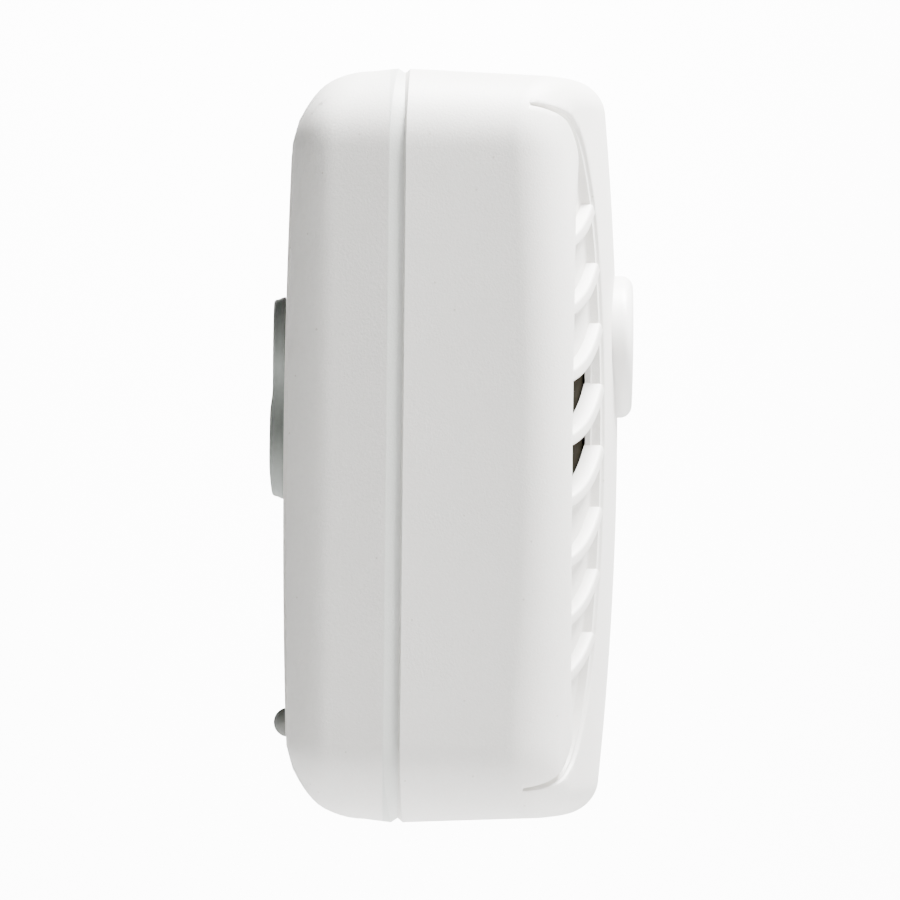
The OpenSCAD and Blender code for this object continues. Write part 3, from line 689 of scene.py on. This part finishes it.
def make_front():
    o = skin("front_cover_visual", 0, 0.0)
    inner = skin("inner", 0, WALL, fine=False)
    core = skin("core", 0, WALL / 2, fine=False)
    boolean(o, inner)
    posts = [rod(x, z, -SEAM - 2.6, -50, SCREW_POST_D, 0.3) for x, z in four(SCREW_X, SCREW_Z)]
    posts += [rod(x, z, BOARD_FRONT, -50, BOARD_POST_D, 0.3) for x, z in four(BOARD_X, BOARD_Z)]
    posts.append(rod(0, BZ, -D + 9, -D + 1.5, BD + 4, 0.4, 96))
    posts.append(rod(0, LAMP_Z, -D + 8, -D + 1.5, 6, 0.3))
    for p in posts:
        boolean(p, core, "INTERSECT", keep=True)
        boolean(o, p, "UNION")
    drop(core)
    for side in (1, -1):
        boolean(o, leaf_cut("ledge", LEDGE_D, LEDGE_W, 0.2, 0.2, 0.2, side))
        boolean(o, leaf_cut("recess", RECESS_D, 0.0, 0.12, 0.2, 0.4, side))
        for i in OPEN_GAPS:
            boolean(o, gap_prism(i, side))
    # bore of the button, with a softened rim
    rim, bore_r, soft = float(front_y(0, BZ)), BD / 2 + BUTTON_GAP, 0.9
    wide = bore_r + soft
    bore = [(0, -D - 4), (wide, -D - 4), (wide, rim - soft)]
    for k in range(7):
        a = math.pi / 2 * k / 6
        bore.append((wide - soft * math.sin(a), rim - 0.6 + soft * (1 - math.cos(a))))
    bore += [(bore_r, -SEAM), (0, -SEAM)]
    boolean(o, lathe("bore", bore, (0, 0, BZ + CZ), 128))
    boolean(o, rod(0, LAMP_Z, -SEAM, -D - 5, 3.2, 0, 48))
    for x, z in four(SCREW_X, SCREW_Z):
        boolean(o, rod(x, z, -SEAM, -38, 2.4, 0, 32))
    for x, z in four(BOARD_X, BOARD_Z):
        boolean(o, rod(x, z, BOARD_FRONT + 1, -38, 1.6, 0, 32))
    for side in (1, -1):
        for i in range(LOUVRES):
            # the two blades under the open gaps are the deeper ones
            boolean(o, louvre(i, side, 3.2 if i - 1 in OPEN_GAPS else 2.2), "UNION")
    smooth(o)
    return finish_piece(o, "front_cover_visual", "white_plastic", "housing", "front_cover")


# ---- Rear cover -------------------------------------------------------------------------
BATT = (48.5, 17.5, 26.5)                   # the battery's width, depth and height
BAY_Z, DOOR_T, DOOR_HH, DOOR_GAP = -28.1, 2.0, 13.6, 0.3   # DOOR_HH is half the door's height
HINGE_X, HINGE_R, PIN_D = 26.4, 1.95, 1.6
HINGE_Y = -BACK - HINGE_R
BUMPER_Z, BUMPER_R = -44.9, 2.6
BATT_BACK = -BACK - DOOR_T - 0.7
BATT_MID = BATT_BACK - BATT[1] / 2
KEYHOLES_Z = (15.5, -0.5)
GRIP = (29.0, 32.6, 31.0, 55.0)             # inner and outer x at mid-height, x and z of the tips
GRIP_DEPTH, GRIP_ENDS_Z = 0.8, (53.7, -54.9)


def ring_prism(outer_inset, inner_inset, back, front):
    """lip that follows the outline"""
    st = stations(10, 6)
    o = prism("lip", [tuple(outline_point(s, outer_inset)) for s in st], back, front)
    boolean(o, prism("lip_in", [tuple(outline_point(s, inner_inset)) for s in st], back + 1, front - 1))
    return o


def keyhole(z):
    """entry hole and slot for a stud of the bracket"""
    slot_r, head_r, lift = 3.0, 4.4, 5.0
    pts = []
    meet = math.asin(slot_r / head_r)
    for k in range(40):
        a = math.pi / 2 + meet + (2 * math.pi - 2 * meet) * k / 39
        pts.append((head_r * math.cos(a), z - lift + head_r * math.sin(a)))
    for k in range(21):
        a = math.pi * k / 20
        pts.append((slot_r * math.cos(a), z + slot_r * math.sin(a)))
    return prism("keyhole", pts, 1, -10)


def grip_end(side, y, z):
    """Slim pocket along the rear corner's edge, where a grip runs out"""
    lo, hi = 20.0, 37.9
    for _ in range(40):
        mid = (lo + hi) / 2
        lo, hi = (mid, hi) if float(front_y(mid, z, 0.0, 1)) > y else (lo, mid)
    x, h = (lo + hi) / 2, 0.05

    def depth(u, v):
        return float(front_y(x + u, z + v, 0.0, 1))

    nx = -(depth(h, 0) - depth(-h, 0)) / (2 * h)
    nz = -(depth(0, h) - depth(0, -h)) / (2 * h)
    normal = Vector((nx, 1.0, nz)).normalized()
    along = Vector((0, -normal.z, normal.y)).normalized()
    across = normal.cross(along)
    length, width, sunk = 2.5, 0.38, 0.9
    half_turn = [math.pi * k / 16 for k in range(17)]
    ball = lathe("end", [(math.sin(a), -math.cos(a)) for a in half_turn], (0, 0, 0), 32)
    for v in ball.data.vertices:
        p = v.co / MM
        q = Vector((x, y, z + CZ)) + along * (p.x * length)
        q += across * (p.z * width) + normal * (p.y * sunk)
        v.co = Vector((side * q.x, q.y, q.z)) * MM
    if side < 0:
        ball.data.flip_normals()
    return ball


def make_rear():
    o = skin("rear_cover_visual", 1, 0.0)
    inner = skin("inner", 1, WALL, fine=False)
    core = skin("core", 1, WALL / 2, fine=False)
    boolean(o, inner)
    boolean(o, ring_prism(WALL - 0.6, WALL + 1.5, -SEAM + 4, -SEAM + 0.5), "UNION")
    boolean(o, ring_prism(WALL + 0.3, WALL + 1.5, -SEAM + 1, -SEAM - 1.8), "UNION")
    for x, z in four(SCREW_X, SCREW_Z):
        p = rod(x, z, -BACK, -SEAM + 1, SCREW_POST_D, 0.2)
        boolean(p, core, "INTERSECT", keep=True)
        boolean(o, p, "UNION")
        boolean(o, rod(x, z, -BACK - 9, -SEAM - 2.5, SCREW_POST_D, 0.3), "UNION")
    drop(core)
    bx = BATT[0] / 2
    bay_front = BATT_BACK - BATT[1] - 0.2
    top, bottom = BAY_Z + BATT[2] / 2 + 0.2, BAY_Z - BATT[2] / 2 - 0.2
    bay_lo, bay_hi = (-bx - 5.5, bay_front - 1.5, bottom - 2.5), (bx + 6, -BACK - WALL / 2, top + 2.5)
    boolean(o, block(bay_lo, bay_hi, 0.35), "UNION")
    for x, z in four(SCREW_X, SCREW_Z):
        boolean(o, rod(x, z, 1, -30, 3.3, 0, 32))
        boolean(o, rod(x, z, 1, -BACK - 10, 6, 0, 48))
    door_lo, door_hi = BAY_Z - DOOR_HH - DOOR_GAP, BAY_Z + DOOR_HH + DOOR_GAP
    knuckle_r = HINGE_R + DOOR_GAP
    hollows = (
        ((-bx - 0.3, bay_front, bottom), (bx + 0.3, 1, top)),                             # battery
        ((-bx - 4.1, bay_front, bottom), (-bx, -BACK - DOOR_T - 0.5, top)),               # contacts
        ((-bx - 7, bay_front + 2, BAY_Z - 8), (-bx - 4, bay_front + 8, BAY_Z + 8)),       # leads
        ((-bx - 1.3, -BACK - DOOR_T - 0.1, door_lo), (HINGE_X, 1, door_hi)),              # door
        ((HINGE_X - 1, HINGE_Y, door_lo), (HINGE_X + knuckle_r, 1, door_hi)),             # knuckle
    )
    for lo, hi in hollows:
        boolean(o, block(lo, hi))
    for r, half in ((knuckle_r, DOOR_HH + DOOR_GAP), (PIN_D / 2, DOOR_HH + 1.3)):
        boolean(o, lathe("groove", plain(r, -half, half), (HINGE_X, HINGE_Y, BAY_Z + CZ), 48, "Z"))
    for z in KEYHOLES_Z:
        boolean(o, keyhole(z))
    boolean(o, rod(0, BUMPER_Z, 1, -BACK - WALL - 1, 3, 0, 48))
    for side in (1, -1):
        boolean(o, crescent_cut("grip", GRIP, GRIP_DEPTH, 1, side, 0.15, 0.25))
        for z in GRIP_ENDS_Z:
            boolean(o, grip_end(side, -7.5, z))
    smooth(o)
    return finish_piece(o, "rear_cover_visual", "white_plastic", "housing", "rear_cover")


# ---- Button -----------------------------------------------------------------------------
def make_button():
    skirt, rise, e = 3, 2.5, 1.9   # e is the radius of the rim
    back = crown(0, BZ) + skirt
    tip = back - skirt - rise
    r = BD / 2
    prof = [(0, back), (r - 0.3, back), (r, back - 0.3)]
    for k in range(13):
        a = math.pi / 2 * k / 12
        prof.append((r - e * (1 - math.cos(a)), tip + e * (1 - math.sin(a))))
    for k in range(1, 13):
        s = 1 - k / 12
        prof.append(((r - e) * s, tip - 0.15 * (1 - s * s)))
    o = lathe("test_button_visual", prof, (0, 0, BZ + CZ), 160)
    tab_front = -D + 9.3
    boolean(o, rod(0, BZ, tab_front + 1.3, back - 0.4, 12, 0.2), "UNION")
    boolean(o, rod(0, BZ, -36.2, tab_front + 1.0, 5, 0.3), "UNION")
    for a in (0, 120, 240):
        tab = block((-1.5, tab_front, 4), (1.5, tab_front + 1.3, 13), 0.25)
        boolean(o, turned(tab, 0, BZ, a), "UNION")
    smooth(o, 30)
    return finish_piece(o, "test_button_visual", "button_plastic", "button", "test_button")


# ---- Bracket ----------------------------------------------------------------------------
LOBE_STEPS, WAIST_STEPS = 84, 28


def peanut_pts(z, grow, r=8.35, waist=6.6):
    """outline of the two-lobe pad about the origin, its lobes tangent to the concave waist"""
    f = (waist ** 2 + z * z - r * r) / (2 * (r - waist))
    c, t = waist + f, math.atan2(z, waist + f)
    pts = []
    arcs = (
        (0, z, r + grow, -t, math.pi + t, LOBE_STEPS),
        (-c, 0, f - grow, t, -t, WAIST_STEPS),
        (0, -z, r + grow, math.pi - t, 2 * math.pi + t, LOBE_STEPS),
        (c, 0, f - grow, math.pi + t, math.pi - t, WAIST_STEPS),
    )
    for cx, cz, rad, a0, a1, n in arcs:
        for k in range(n):
            a = a0 + (a1 - a0) * k / n
            pts.append((cx + rad * math.cos(a), cz + rad * math.sin(a)))
    return pts


def make_bracket():
    z, thinner = 8.0, 0.42   # height of a lobe's centre; how much thinner the upper lobe is
    # section of the rim from the case side to the wall side: drafted, then softly rounded
    layers = [(-2.35, -0.2), (-2.34, -0.08), (-2.28, -0.02), (-2.2, 0.0),
              (-1.9, -0.07), (-1.4, -0.2), (-0.9, -0.33), (-0.6, -0.42)]
    for a in (math.pi / 16 * k for k in range(1, 9)):
        layers.append((-0.6 + 0.6 * math.sin(a), -0.42 - 0.6 * (1 - math.cos(a))))

    def shift(y, zz):
        """moves the wall side: a soft step at the waist, and a bow towards the lower end"""
        step = thinner / (1 + math.exp(-(zz + 0.6) / 0.7))
        bow = 0.55 * max((-zz - 9.5) / 6.9, 0.0) ** 2
        return y - (step + bow) * min(max(y + 1.95, 0.0), 1.0)

    verts, faces = [], []
    for y, g in layers:
        verts += [(x, shift(y, zz), zz) for x, zz in peanut_pts(z, g)]
    n, m = 2 * (LOBE_STEPS + WAIST_STEPS), len(layers)
    for j in range(m - 1):
        for i in range(n):
            k = (i + 1) % n
            faces.append((j * n + i, (j + 1) * n + i, (j + 1) * n + k, j * n + k))
    for end in (0, m - 1):   # each face closes in towards the line between the lobes' centres
        prev, y0 = end * n, layers[end][0]
        rim = [verts[prev + i] for i in range(n)]
        for q in range(1, 9):
            share = 1 - q / 9.0
            start = len(verts)
            for x, _, zz in rim:
                tz = max(-z, min(z, zz))
                pz = tz + (zz - tz) * share
                verts.append((x * share, shift(y0, pz), pz))
            faces += [(prev + i, start + i, start + (i + 1) % n, prev + (i + 1) % n) for i in range(n)]
            prev = start
        faces.append(tuple(prev + i for i in range(n)))
    o = pydata("wall_bracket_visual", verts, faces)
    head = -BACK - WALL - 0.3
    for sz in (1, -1):
        stud = [(0, -1.2), (2.7, -1.2), (2.7, head), (3.95, head), (4.1, head - 0.15),
                (4.1, head - 1.2), (3.9, head - 1.4), (0, head - 1.4)]
        boolean(o, lathe("stud", stud, (0, 0, sz * z), 64), "UNION")
        face = -thinner if sz > 0 else 0.0
        sink = [(0, 1.5), (2.5, 1.5), (2.5, face - 0.1), (2.2, face - 0.2), (2.0, face - 0.55),
                (2.0, head - 3), (0, head - 3)]
        boolean(o, lathe("hole", sink, (0, 0, sz * z), 48))
    smooth(o, 42)
    return finish_piece(o, "wall_bracket_visual", "grey_plastic", "bracket", "wall_bracket")


# ---- Battery door, bumper, screws ---------------------------------------------------------
def make_door():
    left = -BATT[0] / 2 - 1
    o = block((left, -BACK - DOOR_T, BAY_Z - DOOR_HH), (HINGE_X, -BACK, BAY_Z + DOOR_HH), 0.3)
    hinge = (HINGE_X, HINGE_Y, BAY_Z + CZ)
    boolean(o, lathe("knuckle", rounded(HINGE_R, -DOOR_HH, DOOR_HH, 0.25), hinge, 64, "Z"), "UNION")
    boolean(o, lathe("pin", plain(PIN_D / 2 + 0.05, -20, 20), hinge, 32, "Z"))
    notch_r, notch_y = 3.2, -BACK + 0.6
    half_turn = [math.pi * i / 24 for i in range(25)]
    notch = [(notch_r * math.sin(a), notch_y - notch_r * math.cos(a)) for a in half_turn]
    boolean(o, lathe("notch", notch, (left, 0, BAY_Z + CZ), 48))
    for i in range(4):
        start, groove_w = left + 5 + 1.6 * i, 0.7
        lo, hi = (start, -BACK - 0.5, BAY_Z - 6), (start + groove_w, 1, BAY_Z + 6)
        boolean(o, block(lo, hi, 0.12, seg=2))
    smooth(o, 30)
    return finish_piece(o, "battery_door_visual", "white_plastic", "door", "battery_door")


def make_bumper():
    foot, r = -BACK - 0.8, BUMPER_R - 0.2
    prof = [(0, foot - WALL), (1.5, foot - WALL), (1.5, foot - 0.01), (r - 0.1, foot), (r, foot + 0.1)]
    for a in (math.pi / 2 * i / 20 for i in range(1, 21)):
        prof.append((r * math.cos(a), foot + r * math.sin(a)))
    o = lathe("rear_bumper_visual", prof, (0, 0, BUMPER_Z + CZ), 64)
    smooth(o, 30)
    return finish_piece(o, "rear_bumper_visual", "grey_rubber", "housing", "rear_bumper")


def make_screws():
    parts = []
    y0 = -BACK - 8
    for x, z in four(SCREW_X, SCREW_Z):
        prof = [(0, -36), (0.5, -36), (1.3, -34.6)]
        prof += [(1.3, y0 - 2.1), (2.7, y0 - 1.9), (2.7, y0 - 0.8), (2.4, y0 - 0.3)]
        prof += [(1.7, y0 - 0.02), (0, y0)]
        screw = lathe("screw", prof, (x, 0, z + CZ), 48)
        a = random.uniform(0, 90)
        for turn in (0, 90):
            arm = block((-1.9, y0 - 1.2, -0.35), (1.9, y0 + 1, 0.35))
            boolean(screw, turned(arm, x, z, a + turn))
        parts.append(screw)
    o = join("case_screws_visual", parts)
    smooth(o, 30)
    return finish_piece(o, "case_screws_visual", "steel", "housing", "case_screws")


make_front()
rear = make_rear()
shaded_rear_plastic = MAT["white_plastic"].copy()
shaded_rear_plastic.name = "white_plastic_rear_seam_shade"
# painted shade: the rear shell's band beside the seam is tinted a tone cooler and darker, standing in
# for the shade that falls on that chamfer
band(shaded_rear_plastic, -SEAM + 0.05, -SEAM + 2.35, (0.80, 0.835, 0.83))
paint(rear, shaded_rear_plastic)


def make_battery():
    """Block battery: a sleeve with round long edges, crimped over a plate at each end"""
    bx, hy, hz, r = BATT[0] / 2, BATT[1] / 2, BATT[2] / 2, 2.0
    rings = [(-bx, 0.9), (-bx + 0.05, 0.5), (-bx + 0.3, 0.12)]
    rings += [(-bx + 0.7, 0.0), (-bx + 1.3, 0.06), (-bx + 1.9, 0.0)]
    rings += [(-x, inset) for x, inset in reversed(rings)]
    per_corner = 9
    verts, faces, n = [], [], 4 * per_corner
    for x, inset in rings:
        for k in range(4):
            cy = BATT_MID + (hy - r) * (1 if k in (0, 3) else -1)
            cz = BAY_Z + CZ + (hz - r) * (1 if k < 2 else -1)
            for i in range(per_corner):
                a = math.pi / 2 * (k + i / (per_corner - 1))
                verts.append((x, cy + (r - inset) * math.cos(a), cz + (r - inset) * math.sin(a)))
    for j in range(len(rings) - 1):
        here, there = j * n, (j + 1) * n
        for i in range(n):
            m = (i + 1) % n
            faces.append((here + i, here + m, there + m, there + i))
    faces += [tuple(range(n)), tuple(range((len(rings) - 1) * n, len(rings) * n))]
    o = smooth(pydata("battery_visual", verts, faces), 32)
    finish_piece(o, "battery_visual", "sleeve_black", "housing", "battery")
    # a pale band at one end with a dark line in it; the rest of the sleeve is dark
    sleeve = material("sleeve_black_band", (0.46, 0.44, 0.40), 0.3, 0.15, coat=0.25, metal=0.35)
    dark = (0.05, 0.05, 0.055)
    band(sleeve, -bx + 12, bx + 1, dark, "X")
    band(sleeve, -bx + 10.6, -bx + 11.4, dark, "X")
    paint(o, sleeve)


def crown_back(o):
    """the back is slightly crowned from top to bottom"""
    for v in o.data.vertices:
        z = v.co.z / MM - CZ
        share = min(max((v.co.y / MM + 9.0) / 5.0, 0.0), 1.0)
        v.co.y -= MM * share * min(z * z / 2600.0, 1.0)
    o.data.update()


make_battery()
make_button()
make_bracket()
door = make_door()
crown_back(rear)
crown_back(door)
make_bumper()
make_screws()

# ---- Room, camera, light, in metres ---------------------------------------------------------
def cyclorama(floor_z, reach, height, curve, half_width):
    """floor that turns up into a backdrop, along +X away from the camera"""
    prof = [(-2.5, floor_z), (0.0, floor_z), (reach - curve, floor_z)]
    for a in (math.pi / 2 * k / 16 for k in range(1, 17)):
        prof.append((reach - curve + curve * math.sin(a), floor_z + curve * (1 - math.cos(a))))
    prof.append((reach, height))
    verts = [(x, y, z) for x, z in prof for y in (-half_width, half_width)]
    faces = [(2 * k, 2 * k + 1, 2 * k + 3, 2 * k + 2) for k in range(len(prof) - 1)]
    me = bpy.data.meshes.new("floor")
    me.from_pydata(verts, [], faces)
    for f in me.polygons:
        f.use_smooth = True
    o = bpy.data.objects.new("floor", me)
    bpy.context.scene.collection.objects.link(o)
    m = bpy.data.materials.new("floor")
    m.use_nodes = True
    bsdf = existing(m.node_tree, "BSDF_PRINCIPLED")
    bsdf.inputs["Base Color"].default_value = (0.62, 0.62, 0.62, 1)
    bsdf.inputs["Roughness"].default_value = 0.85
    paint(o, m)


def studio_world():
    """the room is brighter and warmer towards the front and above than towards the wall"""
    world = bpy.data.worlds.new("studio")
    bpy.context.scene.world = world
    world.use_nodes = True
    nt = world.node_tree
    bg = existing(nt, "BACKGROUND")
    facing = node(nt, "ShaderNodeVectorMath", operation="DOT_PRODUCT")
    facing.inputs[1].default_value = (-0.08, -0.85, 0.5)
    nt.links.new(node(nt, "ShaderNodeTexCoord").outputs["Generated"], facing.inputs[0])
    share = remap(nt, facing.outputs["Value"], -0.9, 0.1)
    colour = blend(nt, share, (0.62, 0.95, 0.84, 1), (1.0, 0.985, 0.96, 1))
    nt.links.new(colour, bg.inputs["Color"])
    strength = remap(nt, facing.outputs["Value"], -1.0, 1.0, 0.01, 0.17)
    nt.links.new(strength, bg.inputs["Strength"])


def area(name, loc, target, size, power, color=(1, 1, 1)):
    li = bpy.data.lights.new(name, "AREA")
    li.energy, li.size, li.color = power, size, color
    o = bpy.data.objects.new(name, li)
    bpy.context.scene.collection.objects.link(o)
    o.location = loc
    o.rotation_mode = "QUATERNION"
    o.rotation_quaternion = (Vector(target) - Vector(loc)).to_track_quat("-Z", "Y")


BACKDROP_X = 2.6
cyclorama(-0.22, BACKDROP_X, 2.5, 0.5, 3.0)
studio_world()
area("top", (0.0, -0.24, 0.62), (0, -0.03, 0), 0.34, 52.0)
area("front", (-0.25, -0.9, 0.2), (0, -0.03, 0), 0.4, 9.0, (1.0, 0.985, 0.96))
area("backdrop", (1.95, 0.0, 0.7), (BACKDROP_X, 0, -0.02), 0.8, 200.0)

# The camera looks along +X at the siren's side, from far enough away for a long lens
DISTANCE, VIEW_WIDTH, SENSOR, ROLL = 1.6, 0.1421, 36, math.radians(0.6)
cam = bpy.data.cameras.new("camera")
cam.sensor_width = SENSOR
cam.lens = SENSOR * DISTANCE / VIEW_WIDTH
cam.clip_start, cam.clip_end = 0.05, 50
cam_o = bpy.data.objects.new("camera", cam)
bpy.context.scene.collection.objects.link(cam_o)
bpy.context.scene.camera = cam_o
cam_o.location = (-DISTANCE - W / 2 * MM, -0.0291, -0.00814)
cam_o.rotation_mode = "QUATERNION"
look = Matrix(((0, 0, -1), (-1, 0, 0), (0, 1, 0)))
cam_o.rotation_quaternion = look.to_quaternion() @ Matrix.Rotation(ROLL, 3, "Z").to_quaternion()
